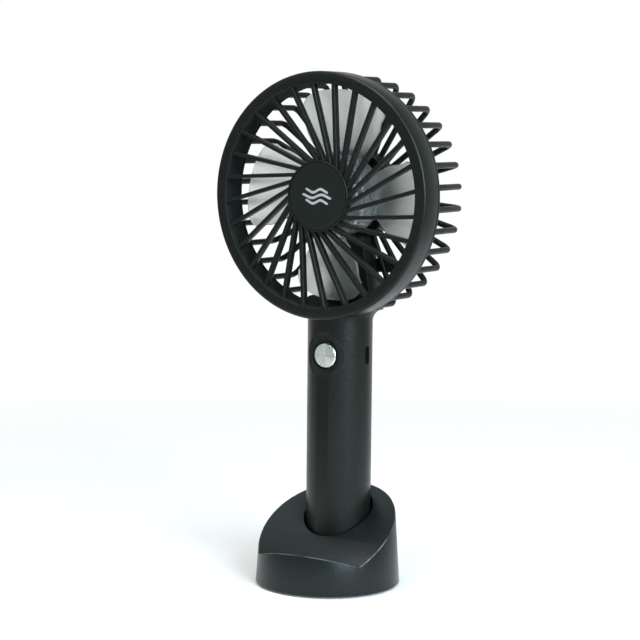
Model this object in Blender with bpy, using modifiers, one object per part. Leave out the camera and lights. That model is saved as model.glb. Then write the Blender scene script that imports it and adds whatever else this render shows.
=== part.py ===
"""A small handheld fan in its desk dock, as an assembly of separate solids.

Metres, +Z up. The handle's axis is the Z axis, the fan blows towards -Y, and z = 0 is the table.
"""

import math

import bmesh
import bpy
from mathutils import Matrix, Vector

MM = 0.001
GAP = 0.3 * MM                     # between pieces that touch

# Head: everything turned about the fan's axis, which runs along Y.
HEAD_Z = 165.9 * MM
RING_RADIUS = 52.0 * MM
RING_INNER = 46.9 * MM
RING_FRONT_Y = -19.5 * MM
RING_SPLIT_Y = -8.6 * MM           # where the front guard ends and the rear guard's rim begins
RIM_BACK_Y = -7.0 * MM
GRILLE_BACK_Y = 16.5 * MM

# Front guard.
RIB_COUNT = 28
RIB_PHASE = -4.4                   # degrees from the top, clockwise from the front
RIB_LEAD = 28.0                    # degrees by which a rib's inner end leads its outer end
RIB_WIDTH = 1.7 * MM
RIB_DEPTH = 3.0 * MM
HUB_RADIUS = 14.9 * MM
BADGE_RADIUS = 13.9 * MM

# Rear guard.
BAR_COUNT = 34
BAR_THICKNESS = 2.6 * MM
BAR_RADIUS_OUT = 51.0 * MM         # to the bars' outer side
BAR_BEND = 2.6 * MM
BARS_LEFT_OUT = (16, 17, 18)       # the neck and the strut stand where these would be
CUP_RADIUS = 19.5 * MM

# Impeller.
BLADE_COUNT = 4
BLADE_TIP = 44.7 * MM
BLADE_CENTRE = 5.0                 # degrees from the top of the first blade's middle
IMPELLER_HUB_RADIUS = 17.0 * MM
IMPELLER_FRONT_Y = -9.5 * MM
SHAFT_RADIUS = 1.0 * MM

# Handle.
HANDLE_RADIUS = 13.95 * MM
HANDLE_WALL = 1.6 * MM
HANDLE_BORE = HANDLE_RADIUS - HANDLE_WALL
HANDLE_BOTTOM_Z = 9.6 * MM
BUTTON_Z = 98.2 * MM
BUTTON_RADIUS = 5.35 * MM
BUTTON_FACE_Y = -12.25 * MM
SOCKET_Y = -0.3 * MM               # middle of the charging socket
CELL_RADIUS = 9.2 * MM
CELL_BOTTOM_Z = 18.2 * MM
CELL_LENGTH = 65.0 * MM

# Dock, in its own frame: it faces -Y and is turned a little about the handle's axis.
DOCK_YAW = 6.0                     # degrees
DOCK_CENTRE_Y = -9.8 * MM
DOCK_RADIUS = 30.9 * MM
DOCK_TAPER = 0.065                 # radius lost for each unit of height
DOCK_WALL = 2.2 * MM
DOCK_SHELL_Z = 0.8 * MM
GROOVE_Y = DOCK_CENTRE_Y - 18.2 * MM
GROOVE_Z = 12.85 * MM
LIP_SLOPE = 0.42
REST_SLOPE = 0.54                  # of the rest's chord, as the rest is a little crowned
REST_LENGTH = 56.0 * MM
REST_CROWN = 1.7 * MM
WELL_RADIUS = 14.75 * MM
WELL_FLOOR_Z = 9.0 * MM

ROUND = 64                         # sides of a large round piece
SMALL_ROUND = 24


# ---------------------------------------------------------------- scene and placing

def new_collection(name):
    collection = bpy.data.collections.new(name)
    bpy.context.scene.collection.children.link(collection)
    return collection


def clear_scene():
    for obj in list(bpy.data.objects):
        bpy.data.objects.remove(obj, do_unlink=True)


clear_scene()
PARTS = new_collection("handheld_fan")
CUTTERS = new_collection("cutters")

HEAD_FRAME = Matrix.Translation((0, 0, HEAD_Z)) @ Matrix.Rotation(math.radians(90), 4, "X")
DOCK_FRAME = Matrix.Rotation(math.radians(DOCK_YAW), 4, "Z")
WORLD = Matrix.Identity(4)


def empty(name, matrix):
    """A frame that pieces are parented to."""
    obj = bpy.data.objects.new(name, None)
    obj.empty_display_size = 10 * MM
    PARTS.objects.link(obj)
    obj.matrix_world = matrix
    return obj


def add_object(name, mesh, frame=WORLD, cutter=False):
    obj = bpy.data.objects.new(name, mesh)
    (CUTTERS if cutter else PARTS).objects.link(obj)
    obj.matrix_world = frame
    if cutter:
        obj.hide_render = True
        obj.display_type = "WIRE"
    return obj


def finish(obj, parent, material):
    """Parents a finished piece to its frame, keeps it in place, shades and colours it."""
    world = obj.matrix_world.copy()
    obj.parent = parent
    obj.matrix_parent_inverse = parent.matrix_world.inverted()
    obj.matrix_world = world
    obj.data.materials.clear()
    obj.data.materials.append(material)
    obj.data.shade_smooth()
    obj.data.set_sharp_from_angle(angle=math.radians(35))
    return obj


def material(name, colour, roughness, metallic=0.0, alpha=1.0):
    made = bpy.data.materials.new(name)
    made.use_nodes = True
    shader = made.node_tree.nodes["Principled BSDF"]
    shader.inputs["Base Color"].default_value = (*colour, 1.0)
    shader.inputs["Roughness"].default_value = roughness
    shader.inputs["Metallic"].default_value = metallic
    shader.inputs["Alpha"].default_value = alpha
    return made


# ---------------------------------------------------------------- shapes

def mesh_of(name, bm):
    bmesh.ops.recalc_face_normals(bm, faces=bm.faces)
    mesh = bpy.data.meshes.new(name)
    bm.to_mesh(mesh)
    bm.free()
    return mesh


def add_box(bm, low, high):
    size = [high[i] - low[i] for i in range(3)]
    middle = [(high[i] + low[i]) / 2 for i in range(3)]
    matrix = Matrix.Translation(middle) @ Matrix.Diagonal((*size, 1))
    bmesh.ops.create_cube(bm, size=1, matrix=matrix)


def box(name, low, high, frame=WORLD, cutter=False):
    bm = bmesh.new()
    add_box(bm, low, high)
    return add_object(name, mesh_of(name, bm), frame, cutter)


def rod(name, start, end, radius, end_radius=None, sides=SMALL_ROUND, frame=WORLD, cutter=False):
    """A cylinder or cone from one point to another."""
    start, end = Vector(start), Vector(end)
    run = end - start
    turn = Vector((0, 0, 1)).rotation_difference(run).to_matrix().to_4x4()
    bm = bmesh.new()
    bmesh.ops.create_cone(
        bm, cap_ends=True, segments=sides, radius1=radius,
        radius2=radius if end_radius is None else end_radius,
        depth=run.length, matrix=Matrix.Translation((start + end) / 2) @ turn)
    return add_object(name, mesh_of(name, bm), frame, cutter)


def turned(name, profile, closed, steps=ROUND, frame=WORLD, cutter=False):
    """A profile of (radius, height) points turned about the frame's Z axis."""
    mesh = bpy.data.meshes.new(name)
    edges = [(i, i + 1) for i in range(len(profile) - 1)]
    if closed:
        edges.append((len(profile) - 1, 0))
    mesh.from_pydata([(r, 0, h) for r, h in profile], edges, [])
    obj = add_object(name, mesh, frame, cutter)
    screw = obj.modifiers.new("turn", "SCREW")
    screw.steps = steps
    screw.render_steps = steps
    screw.use_merge_vertices = True
    screw.merge_threshold = 0.01 * MM
    applied(obj)
    bm = bmesh.new()
    bm.from_mesh(obj.data)
    obj.data = mesh_of(name, bm)
    return obj


def applied(obj):
    """The object with its modifiers made into its mesh."""
    graph = bpy.context.evaluated_depsgraph_get()
    mesh = bpy.data.meshes.new_from_object(obj.evaluated_get(graph))
    obj.modifiers.clear()
    obj.data = mesh
    mesh.name = obj.name
    return obj


def prism(name, outline, low, high, axis="X", frame=WORLD, cutter=False):
    """A flat outline given thickness along X, or along Y when axis is Y."""
    curve = bpy.data.curves.new(name, "CURVE")
    curve.dimensions = "2D"
    curve.fill_mode = "BOTH"
    curve.extrude = (high - low) / 2
    spline = curve.splines.new("POLY")
    spline.points.add(len(outline) - 1)
    for point, (a, b) in zip(spline.points, outline):
        point.co = (a, b, 0, 1)
    spline.use_cyclic_u = True
    drawn = add_object(name + "_outline", curve, WORLD, cutter=True)
    # Local x, y, z of the outline become y, z, x of the frame, or x, z, -y.
    if axis == "X":
        turn = Matrix(((0, 0, 1, 0), (1, 0, 0, 0), (0, 1, 0, 0), (0, 0, 0, 1)))
        shift = Matrix.Translation(((high + low) / 2, 0, 0))
    else:
        turn = Matrix(((1, 0, 0, 0), (0, 0, -1, 0), (0, 1, 0, 0), (0, 0, 0, 1)))
        shift = Matrix.Translation((0, (high + low) / 2, 0))
    mesh = mesh_of_curve(drawn, name)
    mesh.transform(shift @ turn)
    return add_object(name, mesh, frame, cutter)


def mesh_of_curve(drawn, name):
    """The closed mesh of a curve object, which is removed."""
    graph = bpy.context.evaluated_depsgraph_get()
    mesh = bpy.data.meshes.new_from_object(drawn.evaluated_get(graph))
    bpy.data.objects.remove(drawn, do_unlink=True)
    bm = bmesh.new()
    bm.from_mesh(mesh)
    bmesh.ops.remove_doubles(bm, verts=bm.verts, dist=0.001 * MM)
    return mesh_of(name, bm)


def tubes(name, routes, radius, resolution, frame=WORLD, cutter=False):
    """Round rods along open routes, in one mesh."""
    curve = bpy.data.curves.new(name, "CURVE")
    curve.dimensions = "3D"
    curve.bevel_depth = radius
    curve.bevel_resolution = resolution
    curve.use_fill_caps = True
    for route in routes:
        spline = curve.splines.new("POLY")
        spline.points.add(len(route) - 1)
        for point, place in zip(spline.points, route):
            point.co = (*place, 1)
    drawn = add_object(name + "_route", curve, WORLD, cutter=True)
    return add_object(name, mesh_of_curve(drawn, name), frame, cutter)


def combine(obj, other, operation):
    """Joins or cuts with another solid and keeps the result as the mesh."""
    step = obj.modifiers.new(operation.lower(), "BOOLEAN")
    step.operation = operation
    step.solver = "EXACT"
    step.object = other
    return applied(obj)


def cut(obj, *others):
    for other in others:
        combine(obj, other, "DIFFERENCE")
    return obj


def join(obj, *others):
    for other in others:
        combine(obj, other, "UNION")
    return obj


def polar(radius, degrees, height):
    """A point of the head's own frame: x to the right, y up, z to the front, degrees clockwise."""
    angle = math.radians(degrees)
    return (radius * math.sin(angle), radius * math.cos(angle), height)


# ---------------------------------------------------------------- materials

BLACK = material("black_plastic", (0.022, 0.026, 0.025), 0.5)
BADGE_BLACK = material("badge_plastic", (0.018, 0.021, 0.020), 0.42)
SMOKE = material("smoke_plastic", (0.36, 0.41, 0.40), 0.25, alpha=0.55)
SPUN_ALUMINIUM = material("spun_aluminium", (0.80, 0.81, 0.81), 0.28, 1.0)
STEEL = material("steel", (0.55, 0.55, 0.55), 0.35, 1.0)
ZINC = material("zinc_screw", (0.42, 0.42, 0.44), 0.4, 1.0)
RUBBER = material("rubber", (0.02, 0.02, 0.02), 0.85)
BOARD_GREEN = material("board_green", (0.02, 0.16, 0.06), 0.45)
CELL_BLUE = material("cell_wrap", (0.03, 0.16, 0.42), 0.35)
NICKEL = material("nickel", (0.62, 0.60, 0.56), 0.3, 1.0)
RED_LEAD = material("red_lead", (0.5, 0.02, 0.02), 0.5)
BLACK_LEAD = material("black_lead", (0.02, 0.02, 0.02), 0.5)
SWITCH_WHITE = material("switch_plastic", (0.62, 0.62, 0.58), 0.5)

dock = empty("dock_frame", DOCK_FRAME)
fan = empty("fan_frame", WORLD)
head = empty("head_frame", HEAD_FRAME)
head.parent = fan
guard_axis = empty("guard_axis", HEAD_FRAME)
impeller_axis = empty("impeller_axis", HEAD_FRAME)
button_axis = empty("button_axis", Matrix.Translation((0, 0, BUTTON_Z)))


# ---------------------------------------------------------------- dock

DOCK_TOP_Z = 42 * MM
DOCK_PLATE_Z = 1.3 * MM
DOCK_PLATE_THICKNESS = 1.8 * MM
BOSS_RADIUS = 3.0 * MM
BOSS_CIRCLE = 24.2 * MM
SCREW_RADIUS = 1.0 * MM
HOLE_RADIUS = SCREW_RADIUS + GAP


def dock_cone(name, inset, low, high):
    """The dock's tapered outside, made smaller by an inset."""
    centre = (0, DOCK_CENTRE_Y)
    return rod(name, (*centre, low), (*centre, high), DOCK_RADIUS - DOCK_TAPER * low - inset,
               DOCK_RADIUS - DOCK_TAPER * high - inset, ROUND, DOCK_FRAME, True)


def ledge(name, drop):
    """The space over the phone ledge: a groove between a low front lip and the sloping rest."""
    front, top = GROOVE_Y - 20 * MM, 70 * MM
    outline = [(front, GROOVE_Z + 20 * MM * LIP_SLOPE - drop)]
    for facet in range(9):
        part = facet / 8
        rise = REST_SLOPE * REST_LENGTH * part + 4 * REST_CROWN * part * (1 - part)
        outline.append((GROOVE_Y + REST_LENGTH * part, GROOVE_Z + rise - drop))
    outline += [(GROOVE_Y + REST_LENGTH, top), (front, top)]
    return prism(name, outline, -40 * MM, 40 * MM, "X", DOCK_FRAME, True)


def boss_places():
    """Where the three screws stand, in the dock's frame."""
    for degrees in (0, 115, 245):
        angle = math.radians(degrees)
        yield BOSS_CIRCLE * math.sin(angle), DOCK_CENTRE_Y - BOSS_CIRCLE * math.cos(angle)


def make_dock_shell():
    shell = dock_cone("dock_shell", 0, DOCK_SHELL_Z, DOCK_TOP_Z)
    CUTTERS.objects.unlink(shell)
    PARTS.objects.link(shell)
    shell.hide_render = False
    shell.display_type = "TEXTURED"
    cut(shell, ledge("ledge", 0))
    roof = 2.4 * MM
    hollow = dock_cone("dock_hollow", DOCK_WALL, 0, DOCK_TOP_Z)
    well = rod("well_wall", (0, 0, WELL_FLOOR_Z - 2 * MM), (0, 0, 60 * MM), WELL_RADIUS + 2 * MM,
               sides=ROUND, frame=DOCK_FRAME, cutter=True)
    cut(hollow, ledge("ledge_inside", roof), well)
    for number, (x, y) in enumerate(boss_places()):
        cut(hollow, rod(f"boss_{number}", (x, y, DOCK_PLATE_Z + DOCK_PLATE_THICKNESS + GAP),
                        (x, y, 30 * MM), BOSS_RADIUS, frame=DOCK_FRAME, cutter=True))
    cut(shell, hollow)
    cut(shell, rod("well", (0, 0, WELL_FLOOR_Z), (0, 0, 60 * MM), WELL_RADIUS, sides=ROUND,
                   frame=DOCK_FRAME, cutter=True))
    for number, (x, y) in enumerate(boss_places()):
        cut(shell, rod(f"boss_hole_{number}", (x, y, 0), (x, y, 9 * MM), HOLE_RADIUS, sides=16,
                       frame=DOCK_FRAME, cutter=True))
    finish(shell, dock, BLACK)


def make_dock_floor():
    centre = (0, DOCK_CENTRE_Y)
    plate_top = DOCK_PLATE_Z + DOCK_PLATE_THICKNESS
    plate = rod("dock_bottom_plate", (*centre, DOCK_PLATE_Z), (*centre, plate_top),
                DOCK_RADIUS - DOCK_WALL - 0.5 * MM, sides=ROUND, frame=DOCK_FRAME)
    for number, (x, y) in enumerate(boss_places()):
        cut(plate, rod(f"plate_hole_{number}", (x, y, 0), (x, y, 5 * MM), HOLE_RADIUS, sides=16,
                       frame=DOCK_FRAME, cutter=True))
    finish(plate, dock, BLACK)
    weight = rod("dock_weight", (*centre, plate_top + GAP), (*centre, plate_top + GAP + 3.2 * MM),
                 20.6 * MM, sides=ROUND, frame=DOCK_FRAME)
    finish(weight, dock, STEEL)
    pad = rod("dock_pad", (*centre, 0), (*centre, DOCK_PLATE_Z - GAP), 21.5 * MM, sides=ROUND,
              frame=DOCK_FRAME)
    finish(pad, dock, RUBBER)


def screw(name, head_top, direction, length, frame, parent, head_radius=1.9 * MM, neck=SCREW_RADIUS):
    """A pan-head screw whose head starts at head_top and whose shank runs along direction."""
    top, along = Vector(head_top), Vector(direction).normalized()
    head_depth = 0.9 * MM
    turn = Vector((0, 0, -1)).rotation_difference(along).to_matrix().to_4x4()
    profile = [(0, 0), (head_radius * 0.8, 0), (head_radius, -0.3 * MM), (head_radius, -head_depth),
               (neck, -head_depth), (neck, -length + 0.6 * MM), (0, -length)]
    obj = turned(name, profile, False, 16, frame @ Matrix.Translation(top) @ turn)
    return finish(obj, parent, ZINC)


def make_dock_screws():
    for number, (x, y) in enumerate(boss_places()):
        # The heads sit under the plate, beside the rubber pad.
        screw(f"dock_screw_{number + 1}", (x, y, DOCK_PLATE_Z - GAP - 0.9 * MM), (0, 0, 1), 7 * MM,
              DOCK_FRAME, dock)


# ---------------------------------------------------------------- rear guard

BAR_MIDDLE = BAR_RADIUS_OUT - BAR_THICKNESS / 2
BAR_HEIGHT = -(GRILLE_BACK_Y - BAR_THICKNESS / 2)      # in the head's frame, where +z is the front
NECK_INNER = 47.0 * MM
STRUT_FRONT_Y = 6.0 * MM
SPIGOT_RADIUS = 11.9 * MM
SPIGOT_BORE = 10.3 * MM
SPIGOT_BOTTOM_Z = 107.8 * MM
CHANNEL_HALF = 2.4 * MM
COVER_Y = 15.3 * MM
COVER_STRIP_HALF = 4.0 * MM
CUP_WALL = 1.6 * MM
CUP_FRONT = -8.0 * MM
CUP_FLOOR_FRONT = -12.6 * MM
CUP_FLOOR_BACK = -13.8 * MM


def bar_route(degrees):
    """Back from the rim, round a bend, and in to the cup."""
    route = [polar(BAR_MIDDLE, degrees, 8.0 * MM)]
    bend_steps = 3
    for step in range(bend_steps + 1):
        angle = math.radians(90 * step / bend_steps)
        radius = BAR_MIDDLE - BAR_BEND * (1 - math.cos(angle))
        route.append(polar(radius, degrees, BAR_HEIGHT + BAR_BEND * (1 - math.sin(angle))))
    route.append(polar(CUP_RADIUS - CUP_WALL / 2, degrees, BAR_HEIGHT))
    return route


def make_neck():
    """The block between the handle's top and the bars, shaped like the handle from outside."""
    neck = turned("neck", [(NECK_INNER, 7.3 * MM), (RING_RADIUS, 7.3 * MM),
                           (RING_RADIUS, -14.5 * MM), (NECK_INNER, -14.5 * MM)],
                  True, ROUND, HEAD_FRAME, True)
    column = rod("neck_column", (0, 0, 100 * MM), (0, 0, 130 * MM), HANDLE_RADIUS, sides=ROUND,
                 cutter=True)
    return combine(neck, column, "INTERSECT")


def make_spigot():
    """The hollow peg that plugs into the handle tube."""
    spigot = rod("spigot", (0, 0, SPIGOT_BOTTOM_Z), (0, 0, 115.6 * MM), SPIGOT_RADIUS, sides=ROUND,
                 cutter=True)
    front_guard_room = turned(
        "front_guard_room", [(0, 30 * MM), (RING_RADIUS + GAP, 30 * MM),
                             (RING_RADIUS + GAP, 8.3 * MM), (0, 8.3 * MM)],
        False, ROUND, HEAD_FRAME, True)
    inside = turned("inside_room", [(0, 20 * MM), (49 * MM, 20 * MM), (49 * MM, -20 * MM),
                                    (0, -20 * MM)], False, ROUND, HEAD_FRAME, True)
    return cut(spigot, front_guard_room, inside)


def make_strut():
    """The wide hollow arm that carries the leads from the neck up to the motor cup."""
    outline = [(-6.6 * MM, HEAD_Z - 17.5 * MM), (6.6 * MM, HEAD_Z - 17.5 * MM),
               (11 * MM, HEAD_Z - 43 * MM), (11 * MM, HEAD_Z - 48.5 * MM),
               (-11 * MM, HEAD_Z - 48.5 * MM), (-11 * MM, HEAD_Z - 43 * MM)]
    strut = prism("strut", outline, STRUT_FRONT_Y, GRILLE_BACK_Y, "Y", WORLD, True)
    web = box("web", (-18.5 * MM, 14.4 * MM, HEAD_Z - 33.3 * MM),
              (18.5 * MM, 16.4 * MM, HEAD_Z - 27.6 * MM), cutter=True)
    return strut, web


def make_rear_guard():
    rim = [(48.6 * MM, 14 * MM), (49.9 * MM, 14 * MM), (49.9 * MM, 8.3 * MM),
           (RING_RADIUS, 8.3 * MM), (RING_RADIUS, 7 * MM), (RING_INNER, 7 * MM),
           (RING_INNER, 8.3 * MM), (48.6 * MM, 8.3 * MM)]
    guard = turned("rear_guard", rim, True, ROUND, HEAD_FRAME)
    inner = CUP_RADIUS - CUP_WALL
    cup = turned("cup", [
        (CUP_RADIUS, CUP_FRONT), (CUP_RADIUS, -GRILLE_BACK_Y), (inner, -GRILLE_BACK_Y),
        (inner, CUP_FLOOR_BACK), (6 * MM, CUP_FLOOR_BACK), (6 * MM, CUP_FLOOR_FRONT),
        (10.5 * MM, CUP_FLOOR_FRONT), (10.5 * MM, -7 * MM), (12 * MM, -7 * MM),
        (12 * MM, CUP_FLOOR_FRONT), (inner, CUP_FLOOR_FRONT), (inner, CUP_FRONT)],
        True, 32, HEAD_FRAME, True)
    routes = [bar_route(360 * k / BAR_COUNT) for k in range(BAR_COUNT) if k not in BARS_LEFT_OUT]
    bars = tubes("bars", routes, BAR_THICKNESS / 2, 1, HEAD_FRAME, True)
    strut, web = make_strut()
    join(guard, bars, cup, strut, web, make_neck(), make_spigot())
    bore = rod("spigot_bore", (0, 0, 100 * MM), (0, 0, 113.4 * MM), SPIGOT_BORE, sides=48,
               cutter=True)
    # The lead channel is deep up to the cup, then runs up behind the cup's floor.
    channel = box("channel", (-CHANNEL_HALF, 7.3 * MM, 110 * MM),
                  (CHANNEL_HALF, 12.4 * MM, HEAD_Z - 21 * MM), cutter=True)
    channel_back = box("channel_back", (-CHANNEL_HALF, 12.0 * MM, HEAD_Z - 42 * MM),
                       (CHANNEL_HALF, 15.4 * MM, HEAD_Z - 21 * MM), cutter=True)
    channel_top = box("channel_top", (-CHANNEL_HALF, -CUP_FLOOR_BACK, HEAD_Z - 22 * MM),
                      (CHANNEL_HALF, 15.4 * MM, HEAD_Z - 16 * MM), cutter=True)
    recess = box("cover_recess", (-COVER_STRIP_HALF - GAP, COVER_Y - GAP, HEAD_Z - 42 * MM),
                 (COVER_STRIP_HALF + GAP, 20 * MM, HEAD_Z - 12 * MM), cutter=True)
    cut(guard, bore, channel, channel_back, channel_top, recess)
    for side in (-1, 1):
        cut(guard, rod(f"motor_hole_{side}", (side * 7.6 * MM, 0, -10 * MM),
                       (side * 7.6 * MM, 0, -15 * MM), HOLE_RADIUS, sides=12, frame=HEAD_FRAME,
                       cutter=True))
    finish(guard, head, BLACK)


def make_rear_cover():
    radius = CUP_RADIUS - CUP_WALL - GAP
    cover = turned("rear_cover", [(0, -COVER_Y), (radius, -COVER_Y), (radius, -GRILLE_BACK_Y),
                                  (0, -GRILLE_BACK_Y)], False, 48, HEAD_FRAME)
    strip = box("cover_strip", (-COVER_STRIP_HALF, COVER_Y, HEAD_Z - 41.7 * MM),
                (COVER_STRIP_HALF, GRILLE_BACK_Y, HEAD_Z - 10 * MM), cutter=True)
    finish(join(cover, strip), head, BLACK)


# ---------------------------------------------------------------- front guard

def make_ribs():
    bm = bmesh.new()
    outer, inner = RING_INNER + 0.6 * MM, HUB_RADIUS - 0.3 * MM
    for k in range(RIB_COUNT):
        start_degrees = RIB_PHASE + 360 * k / RIB_COUNT
        start = Vector(polar(outer, start_degrees, 0))
        end = Vector(polar(inner, start_degrees + RIB_LEAD, 0))
        run = end - start
        place = (Matrix.Translation((start + end) / 2)
                 @ Matrix.Rotation(math.atan2(run.y, run.x), 4, "Z"))
        top = -RING_FRONT_Y - 0.4 * MM
        place = Matrix.Translation((0, 0, top - RIB_DEPTH / 2)) @ place
        bmesh.ops.create_cube(
            bm, size=1, matrix=place @ Matrix.Diagonal((run.length, RIB_WIDTH, RIB_DEPTH, 1)))
    return add_object("ribs", mesh_of("ribs", bm), HEAD_FRAME, True)


def make_front_guard():
    front, back = -RING_FRONT_Y, -RING_SPLIT_Y
    ring = [(RING_INNER, front), (RING_RADIUS - 1.05 * MM, front), (RING_RADIUS, front - 1.3 * MM),
            (RING_RADIUS, back), (50.3 * MM, back), (50.3 * MM, front - 2.2 * MM),
            (48.2 * MM, front - 2.2 * MM), (48.2 * MM, back), (RING_INNER, back)]
    guard = turned("front_guard", ring, True, ROUND, HEAD_FRAME)
    seat = front - 0.9 * MM
    hub = turned("guard_hub", [
        (0, seat), (BADGE_RADIUS + GAP, seat), (BADGE_RADIUS + GAP, front), (HUB_RADIUS, front),
        (HUB_RADIUS, front - 4 * MM), (HUB_RADIUS - 1.4 * MM, front - 4 * MM),
        (HUB_RADIUS - 1.4 * MM, seat - 1.4 * MM), (0, seat - 1.4 * MM)],
        False, 48, HEAD_FRAME, True)
    join(guard, make_ribs(), hub)
    finish(guard, guard_axis, BLACK)
    badge = turned("hub_badge", [(0, front + 0.1 * MM), (BADGE_RADIUS - 0.4 * MM, front + 0.1 * MM),
                                 (BADGE_RADIUS, front - 0.2 * MM), (BADGE_RADIUS, seat + GAP),
                                 (0, seat + GAP)], False, 48, HEAD_FRAME)
    finish(badge, guard_axis, BADGE_BLACK)


# ---------------------------------------------------------------- impeller and motor

def blade_point(across, along):
    """A point of a blade: across runs -1 to 1 against the turn, along runs 0 to 1 out to the tip."""
    tip = BLADE_TIP - 5.5 * MM * abs(across) ** 7
    root = IMPELLER_HUB_RADIUS - 0.9 * MM
    radius = root + (tip - root) * along
    half_span = 23 + 6 * math.sin(math.pi * min(along, 0.85)) + 2 * along
    height = 2.6 * MM - across * (5.6 - 1.9 * along) * MM + 1.6 * MM * along
    return radius, half_span * across, height


def make_blades():
    bm = bmesh.new()
    columns, rows = 6, 5
    for k in range(BLADE_COUNT):
        made = bmesh.ops.create_grid(bm, x_segments=columns, y_segments=rows, size=1)
        for vertex in made["verts"]:
            radius, degrees, height = blade_point(vertex.co.x, (vertex.co.y + 1) / 2)
            vertex.co = polar(radius, BLADE_CENTRE + 90 * k + degrees, height)
    blades = add_object("blades", mesh_of("blades", bm), HEAD_FRAME, True)
    thick = blades.modifiers.new("thickness", "SOLIDIFY")
    thick.thickness = 1.1 * MM
    thick.offset = 0
    return applied(blades)


def make_impeller():
    radius, front = IMPELLER_HUB_RADIUS, -IMPELLER_FRONT_Y
    wall, boss, bore = 1.5 * MM, 2.8 * MM, SHAFT_RADIUS + GAP
    hub = [(0, front), (radius - 1.5 * MM, front), (radius, front - 1.5 * MM), (radius, -4 * MM),
           (radius - wall, -4 * MM), (radius - wall, front - 1.6 * MM), (boss, front - 1.6 * MM),
           (boss, 4.8 * MM), (bore, 4.8 * MM), (bore, front - 0.6 * MM), (0, front - 0.6 * MM)]
    impeller = turned("impeller", hub, False, 48, HEAD_FRAME)
    finish(join(impeller, make_blades()), impeller_axis, SMOKE)
    shaft = rod("motor_shaft", (0, 0, front - 0.9 * MM), (0, 0, -12 * MM), SHAFT_RADIUS, sides=16,
                frame=HEAD_FRAME)
    finish(shaft, impeller_axis, STEEL)
    rotor = turned("motor_rotor", [(8.2 * MM, 1.5 * MM), (8.2 * MM, -9.6 * MM), (bore, -9.6 * MM),
                                   (bore, 1.5 * MM)], True, 32, HEAD_FRAME)
    finish(rotor, impeller_axis, STEEL)


def make_motor():
    bore = SHAFT_RADIUS + GAP
    can = turned("motor_can", [
        (bore, 4 * MM), (9.4 * MM, 4 * MM), (10.2 * MM, 3.2 * MM), (10.2 * MM, -12.2 * MM),
        (9.4 * MM, -12.2 * MM), (9.4 * MM, 3 * MM), (bore, 3 * MM)], True, 32, HEAD_FRAME)
    finish(can, head, STEEL)
    end = turned("motor_end_cap", [(9.1 * MM, -10.4 * MM), (9.1 * MM, -12.2 * MM), (bore, -12.2 * MM),
                                   (bore, -10.4 * MM)], True, 32, HEAD_FRAME)
    for side in (-1, 1):
        place = (side * 7.6 * MM, 0)
        cut(end, rod(f"end_hole_{side}", (*place, -10 * MM), (*place, -13 * MM), 1.1 * MM, sides=12,
                     frame=HEAD_FRAME, cutter=True))
    finish(end, head, SWITCH_WHITE)
    for side, name in ((-1, "motor_screw_left"), (1, "motor_screw_right")):
        screw(name, (side * 7.6 * MM, 0, -15.0 * MM), (0, 0, 1), 4.2 * MM, HEAD_FRAME, head,
              1.7 * MM, 0.8 * MM)


def lead_route(side):
    """From the circuit board up the spigot and the strut to the motor's end cap."""
    stations = [(1.2, -1.0, 99.0), (1.2, -1.0, 104.0), (1.2, 2.5, 109.5), (1.2, 7.6, 112.5),
                (1.2, 8.7, 115.5), (1.2, 8.9, 120.0), (1.2, 11.6, 125.5), (1.3, 13.9, 130.0),
                (1.3, 14.5, 136.0), (1.3, 14.5, 150.0), (1.8, 14.5, 157.0), (2.6, 14.5, 161.5),
                (3.0, 13.9, 163.4), (3.1, 12.7, 164.2)]
    points = [Vector((side * x, y, z)) * MM for x, y, z in stations]
    route = []
    for index in range(len(points) - 1):
        before = points[max(index - 1, 0)]
        after = points[min(index + 2, len(points) - 1)]
        start, end = points[index], points[index + 1]
        for step in range(2):
            t = step / 2
            route.append(0.5 * ((2 * start) + (end - before) * t
                                + (2 * before - 5 * start + 4 * end - after) * t * t
                                + (3 * start - before - 3 * end + after) * t ** 3))
    route.append(points[-1])
    return route


def make_leads():
    finish(tubes("motor_lead_red", [lead_route(-1)], 0.5 * MM, 1), fan, RED_LEAD)
    finish(tubes("motor_lead_black", [lead_route(1)], 0.5 * MM, 1), fan, BLACK_LEAD)


# ---------------------------------------------------------------- handle

BOSS_BACK_Y = -10.9 * MM
BUTTON_CLEARANCE = 0.6 * MM
DISH_FLOOR_Y = -11.8 * MM


def make_handle_tube():
    tube = rod("handle_tube", (0, 0, HANDLE_BOTTOM_Z + 2.7 * MM), (0, 0, 120 * MM), HANDLE_RADIUS,
               sides=ROUND)
    bore = rod("handle_bore", (0, 0, 0), (0, 0, 130 * MM), HANDLE_BORE, sides=ROUND, cutter=True)
    cut(bore, rod("button_boss", (0, -20 * MM, BUTTON_Z), (0, BOSS_BACK_Y, BUTTON_Z), 9 * MM,
                  sides=32, cutter=True))
    saddle = turned("saddle", [(0, 30 * MM), (RING_RADIUS + GAP, 30 * MM),
                               (RING_RADIUS + GAP, -30 * MM), (0, -30 * MM)],
                    False, ROUND, HEAD_FRAME, True)
    dish = rod("dish", (0, DISH_FLOOR_Y, BUTTON_Z), (0, -14.2 * MM, BUTTON_Z), 6.9 * MM, 9.0 * MM,
               32, cutter=True)
    hole = rod("button_hole", (0, -20 * MM, BUTTON_Z), (0, -8 * MM, BUTTON_Z),
               BUTTON_RADIUS + BUTTON_CLEARANCE, sides=32, cutter=True)
    slot = box("socket_slot", (10 * MM, SOCKET_Y - 1.5 * MM, BUTTON_Z - 3.8 * MM),
               (16 * MM, SOCKET_Y + 1.5 * MM, BUTTON_Z + 3.8 * MM), cutter=True)
    finish(cut(tube, bore, saddle, dish, hole, slot), fan, BLACK)


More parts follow.
